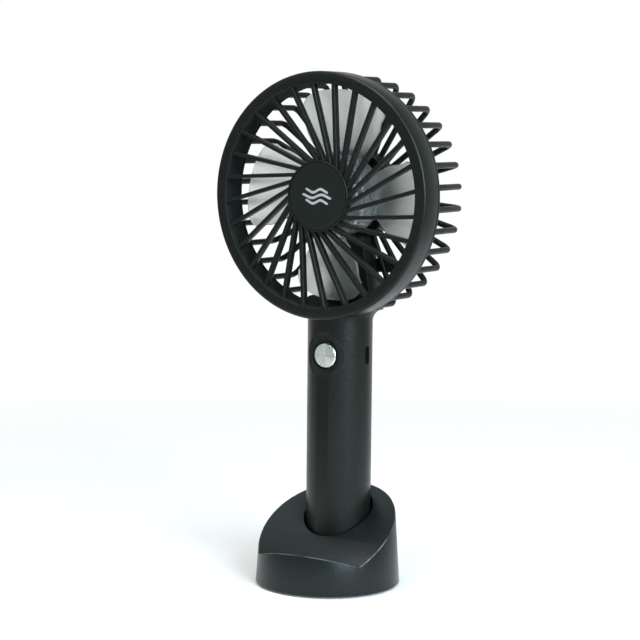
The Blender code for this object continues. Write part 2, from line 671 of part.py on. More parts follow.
def make_end_cap():
    bottom = HANDLE_BOTTOM_Z
    cap = turned("handle_end_cap", [
        (0, bottom + 5.4 * MM), (HANDLE_BORE - 0.35 * MM, bottom + 5.4 * MM),
        (HANDLE_BORE - 0.35 * MM, bottom + 2.4 * MM), (HANDLE_RADIUS, bottom + 2.4 * MM),
        (HANDLE_RADIUS, bottom + 0.8 * MM), (HANDLE_RADIUS - 0.8 * MM, bottom), (0, bottom)],
        False, ROUND)
    finish(cap, fan, BLACK)


BOARD_FRONT_Y = -2.9 * MM
BOARD_BACK_Y = -1.9 * MM
BOARD_BOTTOM_Z = 87.0 * MM
BOARD_TOP_Z = 104.3 * MM
CHASSIS_RADIUS = 11.9 * MM
CHASSIS_BOTTOM_Z = 15.6 * MM
CHASSIS_TOP_Z = 104.4 * MM
CHASSIS_SHELF_Z = 84.3 * MM
TROUGH_RADIUS = 9.7 * MM
BOARD_SCREWS = {"board_screw_upper": (-7.6 * MM, 101.2 * MM), "board_screw_lower": (7.0 * MM, 89.8 * MM)}


def make_chassis():
    """The half tube behind the cell, with a shelf at each end of it and two posts for the board."""
    chassis = rod("handle_chassis", (0, 0, CHASSIS_BOTTOM_Z), (0, 0, CHASSIS_TOP_Z), CHASSIS_RADIUS,
                  sides=48)
    far = 20 * MM
    front_half = box("front_half", (-far, -far, 0), (far, 0, BOARD_BOTTOM_Z), cutter=True)
    trough = rod("trough", (0, 0, CHASSIS_BOTTOM_Z + 1.6 * MM), (0, 0, CHASSIS_SHELF_Z),
                 TROUGH_RADIUS, sides=48, cutter=True)
    upper_front = box("upper_front", (-far, -far, CHASSIS_SHELF_Z + 1.6 * MM),
                      (far, 2 * MM, 120 * MM), cutter=True)
    upper_bore = rod("upper_bore", (0, 0, CHASSIS_SHELF_Z + 1.6 * MM), (0, 0, 120 * MM),
                     TROUGH_RADIUS, sides=48, cutter=True)
    cut(chassis, front_half, trough, upper_front, upper_bore)
    for name, (x, z) in BOARD_SCREWS.items():
        join(chassis, rod(name + "_post", (x, BOARD_BACK_Y + GAP, z), (x, 7.6 * MM, z), 2.2 * MM,
                          sides=16, cutter=True))
        cut(chassis, rod(name + "_hole", (x, -5 * MM, z), (x, 3.4 * MM, z), 1.1 * MM, sides=12,
                         cutter=True))
    finish(chassis, fan, BLACK)


def make_cell():
    top = CELL_BOTTOM_Z + CELL_LENGTH
    cell = turned("battery_cell", [
        (0, top), (4 * MM, top), (4 * MM, top - 0.8 * MM), (CELL_RADIUS - 0.4 * MM, top - 0.8 * MM),
        (CELL_RADIUS, top - 1.4 * MM), (CELL_RADIUS, CELL_BOTTOM_Z + 0.4 * MM),
        (CELL_RADIUS - 0.4 * MM, CELL_BOTTOM_Z), (0, CELL_BOTTOM_Z)], False, 32)
    finish(cell, fan, CELL_BLUE)
    for name, low in (("battery_tab_lower", CELL_BOTTOM_Z - 0.6 * MM), ("battery_tab_upper", top + GAP)):
        tab = box(name, (-2.5 * MM, -7 * MM, low), (2.5 * MM, 4 * MM, low + GAP))
        finish(tab, fan, NICKEL)


def make_board():
    board = box("circuit_board", (-10.6 * MM, BOARD_FRONT_Y, BOARD_BOTTOM_Z),
                (10.6 * MM, BOARD_BACK_Y, BOARD_TOP_Z))
    for name, (x, z) in BOARD_SCREWS.items():
        cut(board, rod(name + "_board_hole", (x, -6 * MM, z), (x, 0, z), 1.2 * MM, sides=16,
                       cutter=True))
        screw(name, (x, BOARD_FRONT_Y - GAP - 0.9 * MM, z), (0, 1, 0), 6 * MM, WORLD, fan,
              1.9 * MM, 0.8 * MM)
    finish(board, fan, BOARD_GREEN)
    switch_front = -6.7 * MM
    tact = box("tact_switch", (-3 * MM, switch_front, BUTTON_Z - 3 * MM),
               (3 * MM, BOARD_FRONT_Y - GAP, BUTTON_Z + 3 * MM))
    cut(tact, rod("plunger_hole", (0, -9 * MM, BUTTON_Z), (0, -4.1 * MM, BUTTON_Z), 1.9 * MM,
                  sides=16, cutter=True))
    finish(tact, fan, SWITCH_WHITE)
    socket = box("usb_socket", (5.6 * MM, SOCKET_Y - 1.3 * MM, BUTTON_Z - 3.6 * MM),
                 (12.0 * MM, SOCKET_Y + 1.3 * MM, BUTTON_Z + 3.6 * MM))
    cut(socket, box("usb_mouth", (6.4 * MM, SOCKET_Y - 0.9 * MM, BUTTON_Z - 3.2 * MM),
                    (14 * MM, SOCKET_Y + 0.9 * MM, BUTTON_Z + 3.2 * MM), cutter=True))
    finish(socket, fan, NICKEL)


def make_button():
    face = Matrix.Translation((0, 0, BUTTON_Z)) @ Matrix.Rotation(math.radians(90), 4, "X")
    front, cap_back = -BUTTON_FACE_Y, 11.4 * MM
    cap = turned("button_cap", [(0, front), (BUTTON_RADIUS - 0.35 * MM, front),
                                (BUTTON_RADIUS, front - 0.3 * MM), (BUTTON_RADIUS, cap_back),
                                (0, cap_back)], False, 32, face)
    finish(cap, button_axis, SPUN_ALUMINIUM)
    body_front, flange_front, flange_back = cap_back - GAP, 10.5 * MM, 9.7 * MM
    body = turned("button_body", [
        (0, body_front), (BUTTON_RADIUS, body_front), (BUTTON_RADIUS, flange_front),
        (6.5 * MM, flange_front), (6.5 * MM, flange_back), (1.6 * MM, flange_back),
        (1.6 * MM, 8.2 * MM), (0, 8.2 * MM)], False, 32, face)
    finish(body, button_axis, BLACK)
    plunger = rod("switch_plunger", (0, -7.9 * MM, BUTTON_Z), (0, -4.9 * MM, BUTTON_Z), 1.5 * MM,
                  sides=16)
    finish(plunger, button_axis, SWITCH_WHITE)


make_dock_shell()
make_dock_floor()
make_dock_screws()
make_rear_guard()
make_rear_cover()
make_front_guard()
make_impeller()
make_motor()
make_leads()
make_handle_tube()
make_end_cap()
make_chassis()
make_cell()
make_board()
make_button()
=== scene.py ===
"""A handheld fan in its desk dock: a guarded head on a round handle, black plastic with a smoky impeller.

Metres, +Z up, the fan blows towards -Y and z = 0 is the table.
"""

import math

import bmesh
import bpy
from mathutils import Matrix, Vector


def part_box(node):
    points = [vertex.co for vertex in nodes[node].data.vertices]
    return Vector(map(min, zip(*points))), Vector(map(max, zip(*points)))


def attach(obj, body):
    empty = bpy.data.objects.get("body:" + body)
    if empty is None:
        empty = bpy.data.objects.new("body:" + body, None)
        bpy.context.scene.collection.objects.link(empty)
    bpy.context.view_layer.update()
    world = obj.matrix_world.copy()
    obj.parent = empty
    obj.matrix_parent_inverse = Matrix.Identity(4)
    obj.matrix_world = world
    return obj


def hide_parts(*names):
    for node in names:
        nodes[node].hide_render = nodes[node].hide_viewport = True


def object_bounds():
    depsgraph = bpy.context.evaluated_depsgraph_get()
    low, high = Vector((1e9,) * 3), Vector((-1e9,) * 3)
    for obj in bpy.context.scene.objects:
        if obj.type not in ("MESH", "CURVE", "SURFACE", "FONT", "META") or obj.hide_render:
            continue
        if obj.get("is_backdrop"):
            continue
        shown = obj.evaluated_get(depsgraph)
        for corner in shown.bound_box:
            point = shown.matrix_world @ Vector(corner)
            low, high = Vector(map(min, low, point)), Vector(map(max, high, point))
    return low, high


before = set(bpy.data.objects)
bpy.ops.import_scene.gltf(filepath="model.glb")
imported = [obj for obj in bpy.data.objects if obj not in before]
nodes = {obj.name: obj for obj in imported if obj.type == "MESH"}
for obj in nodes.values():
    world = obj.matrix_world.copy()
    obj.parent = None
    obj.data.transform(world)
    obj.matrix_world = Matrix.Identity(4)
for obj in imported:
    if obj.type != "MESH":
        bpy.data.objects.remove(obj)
cad_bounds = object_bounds()


# ---------------------------------------------------------------- dock shell
# The dock is one moulding of black plastic: a slightly tapered drum whose top slopes down to a
# straight groove behind a low lip, where a phone stands. The handle drops into the round well.
# It stands a few degrees turned under the fan, as the well is round.

MM = 0.001


class Wire:
    """One output of a material's nodes. Sums on it add Math nodes, so 1 - mask works."""

    def __init__(self, tree, socket=None):
        self.tree = tree
        self.socket = socket

    def node(self, kind, settings, sockets, outlet=0):
        """A new node of this type: its settings are set first, then its sockets."""
        made = self.tree.nodes.new(kind)
        for key, value in settings.items():
            setattr(made, key, value)
        for key, value in sockets.items():
            if isinstance(value, Wire):
                self.tree.links.new(value.socket, made.inputs[key])
            else:
                made.inputs[key].default_value = value
        return Wire(self.tree, made.outputs[outlet])

    def maths(self, operation, first, second):
        return self.node("ShaderNodeMath", {"operation": operation}, {0: first, 1: second})

    def __add__(self, other):
        return self.maths("ADD", self, other)

    def __sub__(self, other):
        return self.maths("SUBTRACT", self, other)

    def __rsub__(self, other):
        return self.maths("SUBTRACT", other, self)

    def __mul__(self, other):
        return self.maths("MULTIPLY", self, other)

    __radd__ = __add__
    __rmul__ = __mul__

    def vector(self, operation, other=(0, 0, 0), outlet="Vector"):
        """Vector Math on this wire and another vector. Lengths and products leave by Value."""
        return self.node("ShaderNodeVectorMath", {"operation": operation}, {0: self, 1: other}, outlet)

    def along(self, axis):
        """This place's X, Y or Z."""
        return self.node("ShaderNodeSeparateXYZ", {}, {0: self}, axis)

    def step(self, low, high):
        """0 below low, 1 above high and smooth between."""
        return self.node("ShaderNodeMapRange", {"interpolation_type": "SMOOTHSTEP"},
                         {"Value": self, "From Min": low, "From Max": high})

    def mix(self, first, second):
        """The first colour where this mask is 0, the second where it is 1."""
        colours = [c if isinstance(c, Wire) else (*c, 1) for c in (first, second)]
        return self.node("ShaderNodeMix", {"data_type": "RGBA"},
                         {0: self, 6: colours[0], 7: colours[1]}, 2)

    def noise(self, size, detail=2.0, roughness=0.5, stretch=(1, 1, 1)):
        """Noise whose lumps are this size in metres, longer where stretch is over 1."""
        scaled = self.node("ShaderNodeMapping", {}, {"Vector": self, "Scale": [1 / s for s in stretch]})
        return self.node("ShaderNodeTexNoise", {},
                         {"Vector": scaled, "Scale": 1 / size, "Detail": detail,
                          "Roughness": roughness})

    def reach(self, middle, axes):
        """The distance from a middle, counting only the axes marked 1."""
        return self.vector("SUBTRACT", middle).vector("MULTIPLY", axes).vector("LENGTH", outlet="Value")

    def bump(self, height, under=None):
        """The normal of a surface raised by this wire, from 0 to 1, times height."""
        sockets = {"Height": self, "Distance": height, "Strength": 1.0}
        if under:
            sockets["Normal"] = under
        return self.node("ShaderNodeBump", {}, sockets)


def new_material(name, even):
    """A material with its even values set on the shader's own sockets, and its place wire."""
    made = bpy.data.materials.new(name)
    made.use_nodes = True
    shader = made.node_tree.nodes["Principled BSDF"]
    for key, value in even.items():
        shader.inputs[key].default_value = value
    place = Wire(made.node_tree).node("ShaderNodeTexCoord", {}, {}, "Object")
    return made, place


def feed(made, **wires):
    """Links wires to the shader's sockets: colour, roughness, normal and emission."""
    shader = made.node_tree.nodes["Principled BSDF"]
    names = {"colour": "Base Color", "roughness": "Roughness", "normal": "Normal",
             "emission": "Emission Color"}
    for key, wire in wires.items():
        made.node_tree.links.new(wire.socket, shader.inputs[names[key]])


def black_plastic(name, colour, grain_size, grain_height, roughness, scuffs=0.0, edge_highlight=None, matt=None):
    """Moulded black plastic: a spark-eroded grain, a little cloudiness, and rubbed streaks.

    Both masks are made from the place: one paints edges pale as a highlight, one makes faces matt.
    """
    cloud_size, cloud_height = 18 * MM, 0.05 * MM
    streak_width, streak_stretch = 5 * MM, (9, 1, 1)
    lighter = [c * 2.2 + 0.002 for c in colour]
    darker = [c * 0.82 for c in colour]
    # The pale colour of a painted highlight along edges.
    highlight_pale = (0.13, 0.145, 0.14)
    made, place = new_material(name, {"Specular IOR Level": 0.27})
    grain = place.noise(grain_size, 1.0, 0.4)
    cloud = place.noise(cloud_size, 3.0)
    rubbed = place.noise(streak_width, 2.0, 0.6, streak_stretch).step(0.62, 0.78)
    tone = cloud.step(0.3, 0.7).mix(darker, colour)
    tone = (grain.step(0.55, 0.75) * 0.35 + rubbed * scuffs).mix(tone, lighter)
    rough = roughness - 0.12 - 0.07 * cloud.step(0.35, 0.7) + 0.3 * grain - 0.1 * scuffs * rubbed
    # Painted highlight: edges in the mask are mixed to the pale colour.
    if edge_highlight:
        tone = edge_highlight(place).mix(tone, highlight_pale)
    if matt:
        rough = rough + 0.5 * matt(place)
    feed(made, colour=tone, roughness=rough,
         normal=grain.bump(grain_height, cloud.bump(cloud_height)))
    return made


def corners_rounded(corners, arc_steps=4):
    """The points of a closed outline of (across, up, rounding) corners, with an arc at each."""
    points = []
    for index, (across, up, rounding) in enumerate(corners):
        here = Vector((across, up))
        if rounding == 0:
            points.append(here)
            continue
        before = (Vector(corners[index - 1][:2]) - here).normalized()
        after = (Vector(corners[(index + 1) % len(corners)][:2]) - here).normalized()
        half = before.angle(after) / 2
        middle = here + (before + after).normalized() * rounding / math.sin(half)
        start = here + before * rounding / math.tan(half) - middle
        end = here + after * rounding / math.tan(half) - middle
        first = math.atan2(start.y, start.x)
        sweep = (math.atan2(end.y, end.x) - first + math.pi) % (2 * math.pi) - math.pi
        for step in range(arc_steps + 1):
            angle = first + sweep * step / arc_steps
            points.append(middle + rounding * Vector((math.cos(angle), math.sin(angle))))
    return points


def new_piece(name, bm, place=Matrix.Identity(4)):
    """A piece from a bmesh, moved into place, with its point of origin left at the scene's."""
    bmesh.ops.remove_doubles(bm, verts=bm.verts, dist=0.0005 * MM)
    bmesh.ops.recalc_face_normals(bm, faces=bm.faces)
    bm.transform(place)
    mesh = bpy.data.meshes.new(name)
    bm.to_mesh(mesh)
    bm.free()
    piece = bpy.data.objects.new(name, mesh)
    bpy.context.scene.collection.objects.link(piece)
    return piece


def turned(name, corners, place=Matrix.Identity(4), sides=192):
    """A closed outline of (radius, height, rounding) corners turned about the Z axis."""
    outline = corners_rounded(corners)
    bm = bmesh.new()
    rings = []
    for side in range(sides):
        angle = 2 * math.pi * side / sides
        rings.append([bm.verts.new((r * math.cos(angle), r * math.sin(angle), h)) for r, h in outline])
    for side in range(sides):
        here, there = rings[side], rings[(side + 1) % sides]
        for low in range(len(outline)):
            high = (low + 1) % len(outline)
            if outline[low].x > 0 or outline[high].x > 0:
                bm.faces.new((here[low], there[low], there[high], here[high]))
    return new_piece(name, bm, place)


def plain_rod(low, high, low_radius, high_radius):
    """The corners of a plain cylinder or cone about the Z axis."""
    return [(0, low, 0), (low_radius, low, 0), (high_radius, high, 0), (0, high, 0)]


def skin(bm, rings):
    """Joins a row of rings of places with faces, and closes both ends."""
    rows = [[bm.verts.new(place) for place in ring] for ring in rings]
    for here, there in zip(rows, rows[1:]):
        for side in range(len(here)):
            after = (side + 1) % len(here)
            bm.faces.new((here[side], here[after], there[after], there[side]))
    bm.faces.new(rows[0])
    bm.faces.new(rows[-1])


def flat_block(name, corners, low, high, place=Matrix.Identity(4)):
    """A closed outline of (x, y, rounding) corners given thickness along Z."""
    outline = corners_rounded(corners)
    bm = bmesh.new()
    skin(bm, [[(p.x, p.y, height) for p in outline] for height in (low, high)])
    return new_piece(name, bm, place)


def combined(piece, other, operation):
    """The piece with the other solid cut from it, joined to it or shared with it."""
    step = piece.modifiers.new(operation, "BOOLEAN")
    step.operation = operation
    step.solver = "EXACT"
    step.object = other
    graph = bpy.context.evaluated_depsgraph_get()
    mesh = bpy.data.meshes.new_from_object(piece.evaluated_get(graph))
    piece.modifiers.clear()
    piece.data = mesh
    bpy.data.objects.remove(other)
    return piece


def edges_eased(piece, width, least_degrees, only=None):
    """Rounds the piece's sharp edges, or those of them that the test accepts."""
    bm = bmesh.new()
    bm.from_mesh(piece.data)
    bmesh.ops.remove_doubles(bm, verts=bm.verts, dist=0.02 * MM)
    least = math.radians(least_degrees)
    sharp = [e for e in bm.edges if len(e.link_faces) == 2 and e.calc_face_angle() > least
             and (only is None or only((e.verts[0].co + e.verts[1].co) / 2))]
    bmesh.ops.bevel(bm, geom=sharp, offset=width, segments=3, profile=0.5,
                    affect="EDGES", clamp_overlap=False)
    bm.to_mesh(piece.data)
    bm.free()
    return piece


sharp_degrees = 32


def finished(piece, material, body, slot, *replaced):
    """Shades a piece, gives it its material and ties it to the frame."""
    piece.data.shade_smooth()
    piece.data.set_sharp_from_angle(angle=math.radians(sharp_degrees))
    piece.data.materials.clear()
    piece.data.materials.append(material)
    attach(piece, body)
    if replaced:
        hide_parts(*replaced)
    return piece


dock_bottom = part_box("dock_shell")[0].z
dock_angle = math.radians(6)
dock_centre_y = -9.8 * MM
dock_turn = Matrix.Rotation(dock_angle, 4, "Z")
dock_centre = Matrix.Translation((0, dock_centre_y, 0))
dock_radius, dock_taper, dock_wall = 30.9 * MM, 0.065, 2.2 * MM
above_dock = 45 * MM
groove_y, groove_z = -28.0 * MM, 12.85 * MM
lip_slope, lip_wall = 0.42, 2.4 * MM
rest_slope, rest_length, rest_crown, rest_facets = 0.54, 56 * MM, 1.7 * MM, 24
well_radius, well_floor, well_wall = 14.75 * MM, 9 * MM, 2 * MM
boss_radius, boss_hole_radius, boss_start, boss_hole_end = 3 * MM, 1.3 * MM, 3.4 * MM, 9 * MM


def rim_highlight(place):
    """A mask of the dock's upper rim, painted pale in patches as a highlight along its edge."""
    fades_in, full = 0.5 * MM, 0.25 * MM
    turned_back = place.node("ShaderNodeMapping", {}, {"Vector": place, "Rotation": (0, 0, -dock_angle)})
    y, z = turned_back.along("Y"), turned_back.along("Z")
    outside = turned_back.reach((0, dock_centre_y, 0), (1, 1, 0)) + z * dock_taper
    part = (y - groove_y) * (1 / rest_length)
    rest = part * (rest_slope * rest_length) + part * (1 - part) * (4 * rest_crown)
    ledge = rest.maths("MAXIMUM", rest, (y - groove_y) * -lip_slope)
    patches = place.noise(9 * MM, 4.0, 0.65).step(0.38, 0.66) * 0.85 + 0.15
    return (outside.step(dock_radius - fades_in, dock_radius - full) * patches
            * (z - ledge).step(groove_z - fades_in, groove_z - full))


# The dock's upper rim gets a painted highlight, in patches.
dock_black = black_plastic("dock_black", (0.0075, 0.0105, 0.0098), 0.40 * MM, 0.020 * MM, 0.33, 0.10,
                           edge_highlight=rim_highlight)


def dock_drum(name, inset, low, high):
    """The dock's tapered outside, made smaller by an inset."""
    low_radius, high_radius = (dock_radius - dock_taper * z - inset for z in (low, high))
    return turned(name, plain_rod(low, high, low_radius, high_radius), dock_turn @ dock_centre)


# Stands a profile drawn as (y, z) upright, with its thickness along X.
side_on = Matrix(((0, 0, 1, 0), (1, 0, 0, 0), (0, 1, 0, 0), (0, 0, 0, 1)))


def over_the_ledge(drop):
    """The open space over the groove, between the lip's slope and the crowned rest."""
    reach, top = 70 * MM, 90 * MM
    corners = [(groove_y - reach, groove_z - drop + reach * lip_slope, 0)]
    for facet in range(rest_facets + 1):
        part = facet / rest_facets
        rise = rest_slope * rest_length * part + 4 * rest_crown * part * (1 - part)
        corners.append((groove_y + rest_length * part, groove_z - drop + rise, 0))
    corners += [(groove_y + rest_length, top, 0), (groove_y - reach, top, 0)]
    return flat_block("ledge_space", corners, -reach, reach, dock_turn @ side_on)


def dock_well(inset):
    """The round well for the handle, made larger by an inset, and open far above the dock."""
    return turned("well", plain_rod(well_floor - inset, 80 * MM, well_radius + inset, well_radius + inset))


def seen_edge(place):
    """Accepts the dock's upper edges and its foot, and leaves the well's floor sharp."""
    return place.z > well_floor + 1 * MM or place.z < 2 * MM


dock = dock_drum("dock", 0, dock_bottom, above_dock)
combined(dock, over_the_ledge(0), "DIFFERENCE")
combined(dock, dock_well(0), "DIFFERENCE")
edges_eased(dock, 0.42 * MM, 20, seen_edge)
hollow = dock_drum("hollow", dock_wall, -1 * MM, above_dock)
combined(hollow, over_the_ledge(lip_wall), "DIFFERENCE")
combined(hollow, dock_well(well_wall), "DIFFERENCE")
boss_places = []
for number in range(3):
    screw_low, screw_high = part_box(f"dock_screw_{number + 1}")
    boss_places.append(Matrix.Translation(((screw_low.x + screw_high.x) / 2,
                                           (screw_low.y + screw_high.y) / 2, 0)))
for boss_place in boss_places:
    boss = turned("boss", plain_rod(boss_start, 40 * MM, boss_radius, boss_radius), boss_place, 48)
    combined(hollow, boss, "DIFFERENCE")
combined(dock, hollow, "DIFFERENCE")
for boss_place in boss_places:
    boss_hole = turned("boss_hole", plain_rod(-1 * MM, boss_hole_end, boss_hole_radius, boss_hole_radius),
                       boss_place, 24)
    combined(dock, boss_hole, "DIFFERENCE")
finished(dock, dock_black, "dock", "black_plastic", "dock_shell")


# ---------------------------------------------------------------- dock floor
# Under the drum sit a moulded bottom plate on three zinc-plated screws, a round rubber foot and,
# inside, a turned steel weight that keeps the tall fan from tipping.


def worn_metal(name, colour, roughness, brush_size, stretch):
    """Bare or plated metal with drawn brush marks and duller patches."""
    made, place = new_material(name, {"Metallic": 1.0})
    brushed = place.noise(brush_size, 2.0, 0.6, stretch)
    patch = place.noise(3 * MM, 3.0).step(0.35, 0.7)
    feed(made, colour=patch.mix(colour, [c * 0.72 for c in colour]),
         roughness=roughness + 0.16 * patch + 0.08 * brushed,
         normal=brushed.bump(0.012 * MM))
    return made


def rubber(name, colour):
    """Matt moulded rubber with a dusty bloom."""
    made, place = new_material(name, {"Specular IOR Level": 0.3})
    dust = (0.09, 0.09, 0.085)
    bloom = place.noise(4 * MM, 4.0).step(0.45, 0.75)
    skin_grain = place.noise(0.25 * MM, 2.0)
    feed(made, colour=(bloom * 0.4).mix(colour, dust),
         roughness=0.78 + 0.15 * bloom, normal=skin_grain.bump(0.02 * MM))
    return made


steel = worn_metal("turned_steel", (0.52, 0.52, 0.53), 0.3, 0.2 * MM, (1, 1, 6))
zinc = worn_metal("zinc_plate", (0.55, 0.56, 0.60), 0.34, 0.15 * MM, (1, 1, 1))
foot_rubber = rubber("foot_rubber", (0.018, 0.018, 0.018))


def dressed(material, *names):
    """Gives a finished material to CAD pieces that are kept as they are."""
    for name in names:
        nodes[name].data.materials.clear()
        nodes[name].data.materials.append(material)


dressed(dock_black, "dock_bottom_plate")
dressed(steel, "dock_weight")
dressed(foot_rubber, "dock_pad")
dressed(zinc, "dock_screw_1", "dock_screw_2", "dock_screw_3")


# ---------------------------------------------------------------- handle
# The handle is a moulded tube with a fine, even grain. Its top is hollowed to sit under the guard
# ring, a soft dish runs round the button, and a slot in its right side opens on the socket.

handle_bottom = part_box("handle_tube")[0].z
handle_radius = 13.95 * MM
handle_bore = 12.35 * MM
saddle_gap = 0.08 * MM
dish_floor, dish_radius = 11.8 * MM, 6.9 * MM
hole_radius = 5.95 * MM
button_low, button_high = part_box("button_cap")
button_z = (button_low.z + button_high.z) / 2
head_low, head_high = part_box("front_guard")
head_z = (head_low.z + head_high.z) / 2
head_place = Matrix.Translation((0, 0, head_z)) @ Matrix.Rotation(math.radians(90), 4, "X")
ring_radius = (head_high.z - head_low.z) / 2
button_place = Matrix.Translation((0, 0, button_z)) @ Matrix.Rotation(math.radians(90), 4, "X")


def dish_wall(place):
    """A mask of the soft dish round the button, which the mould left matt."""
    from_middle = place.reach((0, 0, button_z), (1, 0, 1))
    past_hole = from_middle.step(hole_radius + 0.02 * MM, hole_radius + 0.35 * MM)
    from_dish = place.reach((0, -dish_floor - 0.2 * MM, button_z), (1, 1, 1))
    return past_hole * (1 - from_dish.step(8.6 * MM, 9.8 * MM))


handle_black = black_plastic("handle_black", (0.0060, 0.0078, 0.0062), 0.50 * MM, 0.070 * MM, 0.34, 0.05,
                             matt=dish_wall)


def flared_column(name, heights):
    """The handle's round column, which widens in a fillet where it meets the guard ring.

    The fillet starts a little below the ring. It is full at the back and faint at the front.
    """
    flare_start, flare_height, flare_width = -3.2 * MM, 5.0 * MM, 4.5 * MM
    front_share, sides = 0.12, 192
    bm = bmesh.new()
    rings = []
    for z in heights:
        ring = []
        for side in range(sides):
            angle = 2 * math.pi * side / sides
            under_ring = head_z - math.sqrt(ring_radius ** 2 - (handle_radius * math.cos(angle)) ** 2)
            rise = min(max((z - under_ring - flare_start) / flare_height, 0), 1)
            rearward = min(max(0.5 + 0.9 * math.sin(angle), front_share), 1)
            radius = handle_radius + rearward * flare_width * (1 - math.sqrt(1 - rise ** 2))
            ring.append((radius * math.cos(angle), radius * math.sin(angle), z))
        rings.append(ring)
    skin(bm, rings)
    return new_piece(name, bm)


# The column's rings lie close together only where it flares.
handle = flared_column("handle", [handle_bottom] + [(109 + 0.5 * step) * MM for step in range(25)])
edges_eased(handle, 0.25 * MM, 60, lambda place: place.z < 20 * MM)
saddle = turned("saddle", plain_rod(-30 * MM, 30 * MM, ring_radius + saddle_gap, ring_radius + saddle_gap),
                head_place, 256)
combined(handle, saddle, "DIFFERENCE")
dish = turned("dish", [
    (0, dish_floor, 0), (dish_radius, dish_floor, 1.2 * MM), (8.5 * MM, 13.63 * MM, 0.8 * MM),
    (10.0 * MM, 14.2 * MM, 0), (10.0 * MM, 20 * MM, 0), (0, 20 * MM, 0)], button_place, 96)
combined(handle, dish, "DIFFERENCE")
bore = turned("bore", plain_rod(0, 130 * MM, handle_bore, handle_bore))
thick_wall = turned("boss", plain_rod(10.9 * MM, 20 * MM, 9 * MM, 9 * MM), button_place, 64)
combined(bore, thick_wall, "DIFFERENCE")
combined(handle, bore, "DIFFERENCE")
button_hole = turned("button_hole", plain_rod(8 * MM, 20 * MM, hole_radius, hole_radius), button_place, 96)
combined(handle, button_hole, "DIFFERENCE")
socket_low, socket_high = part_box("usb_socket")
socket_y = (socket_low.y + socket_high.y) / 2
slot_place = Matrix.Translation((0, socket_y, button_z)) @ side_on
half_width, half_height, slot_rounding = 1.5 * MM, 3.8 * MM, 1.3 * MM
slot_corners = [(half_width * y, half_height * z, slot_rounding)
                for y, z in ((-1, -1), (1, -1), (1, 1), (-1, 1))]
combined(handle, flat_block("slot", slot_corners, 10 * MM, 16 * MM, slot_place), "DIFFERENCE")
finished(handle, handle_black, "fan", "black_plastic", "handle_tube")


# ---------------------------------------------------------------- handle end cap
# The cap is a turned-looking moulding pushed into the tube's lower end, with a soft outer edge
# and a shallow dimple where it was gated.

cap_low, cap_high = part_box("handle_end_cap")
cap_plug = handle_bore - 0.35 * MM
cap_bottom, cap_shoulder = cap_low.z, cap_low.z + 2.4 * MM
dimple = cap_low.z + 0.5 * MM
end_cap = turned("end_cap", [
    (0, dimple, 0), (3 * MM, dimple, 0.2 * MM), (3.6 * MM, cap_bottom, 0.2 * MM),
    (handle_radius, cap_bottom, 1.0 * MM), (handle_radius, cap_shoulder, 0.2 * MM),
    (cap_plug, cap_shoulder, 0), (cap_plug, cap_high.z, 0.3 * MM), (0, cap_high.z, 0)])
finished(end_cap, handle_black, "fan", "black_plastic", "handle_end_cap")


# ---------------------------------------------------------------- button
# The button is a spun aluminium disc with a bright cut chamfer, glued to a black plastic body.
# The lathe left fine rings on its face, which throw the light out in wedges.
# Lighter wedges of sheen are also painted into its colour, as a painted highlight.

button_face, button_back = -button_low.y, 11.4 * MM
button_radius = 5.35 * MM


def spun_aluminium():
    """Aluminium with the lathe's rings round the button's middle, and lighter wedges of painted sheen."""
    ring_width, wedges, ring_height = 0.09 * MM, 7.0, 0.028 * MM
    made, place = new_material("spun_aluminium", {"Metallic": 1.0})
    away = place.reach((0, 0, button_z), (1, 0, 1))
    rings = away.node("ShaderNodeTexNoise", {"noise_dimensions": "1D"},
                      {"W": away, "Scale": 1 / ring_width, "Detail": 2.0})
    upright = place.node("ShaderNodeMapping", {}, {"Vector": place, "Location": (0, button_z, 0),
                                                   "Rotation": (math.pi / 2, 0, 0)})
    turn = upright.node("ShaderNodeTexGradient", {"gradient_type": "RADIAL"}, {"Vector": upright}, "Fac")
    # Painted sheen: lighter wedges round the middle, laid into the colour as a painted highlight.
    painted_sheen = turn.node("ShaderNodeTexNoise", {"noise_dimensions": "1D"},
                      {"W": turn, "Scale": wedges, "Detail": 1.0})
    feed(made, colour=painted_sheen.step(0.4, 0.6).mix((0.80, 0.82, 0.83), (0.97, 0.98, 0.98)),
         roughness=0.20 + 0.08 * rings, normal=rings.bump(ring_height))
    return made


chamfer_width, chamfer_depth = 0.42 * MM, 0.34 * MM
button_disc = turned("button_disc", [
    (0, button_back, 0), (button_radius, button_back, 0),
    (button_radius, button_face - chamfer_depth, 0.06 * MM),
    (button_radius - chamfer_width, button_face, 0.06 * MM), (0, button_face, 0)], button_place, 128)
finished(button_disc, spun_aluminium(), "power_button", "spun_aluminium", "button_cap")


# ---------------------------------------------------------------- rear guard
# One black moulding: a rim that plugs behind the ring, thirty-one round bars that run back and
# turn in to the motor cup, a hollow strut for the leads, and the neck with its peg for the handle.

bar_count = 34
bars_left_out = (16, 17, 18)  # the neck stands there
bar_radius = 1.3 * MM
bar_circle = 49.7 * MM
bar_bend = 3.0 * MM
back_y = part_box("rear_guard")[1].y
bar_depth = -(back_y - bar_radius)
plug_inner, plug_radius, plug_front = 48.6 * MM, 49.9 * MM, 14 * MM
ring_inner = 46.9 * MM
rim_front, rim_back = 8.3 * MM, 7 * MM
cup_radius, cup_wall = 19.5 * MM, 1.6 * MM
cup_front, floor_front, floor_back = -8 * MM, -12.6 * MM, -13.8 * MM


def inside_wall(place):
    """A mask of the ring's inner wall, which the mould left matt."""
    away = place.reach((0, 0, head_z), (1, 0, 1))
    return (away.step(ring_inner - 1.3 * MM, ring_inner - 0.3 * MM)
            * (1 - away.step(ring_inner + 0.05 * MM, ring_inner + 0.2 * MM)))


guard_black = black_plastic("guard_black", (0.0058, 0.0078, 0.0068), 0.60 * MM, 0.060 * MM, 0.34,
                            matt=inside_wall)


def polar(radius, degrees, height):
    """A place in the head's own frame: x right, y up, z to the front, degrees clockwise from the top."""
    angle = math.radians(degrees)
    return Vector((radius * math.sin(angle), radius * math.cos(angle), height))


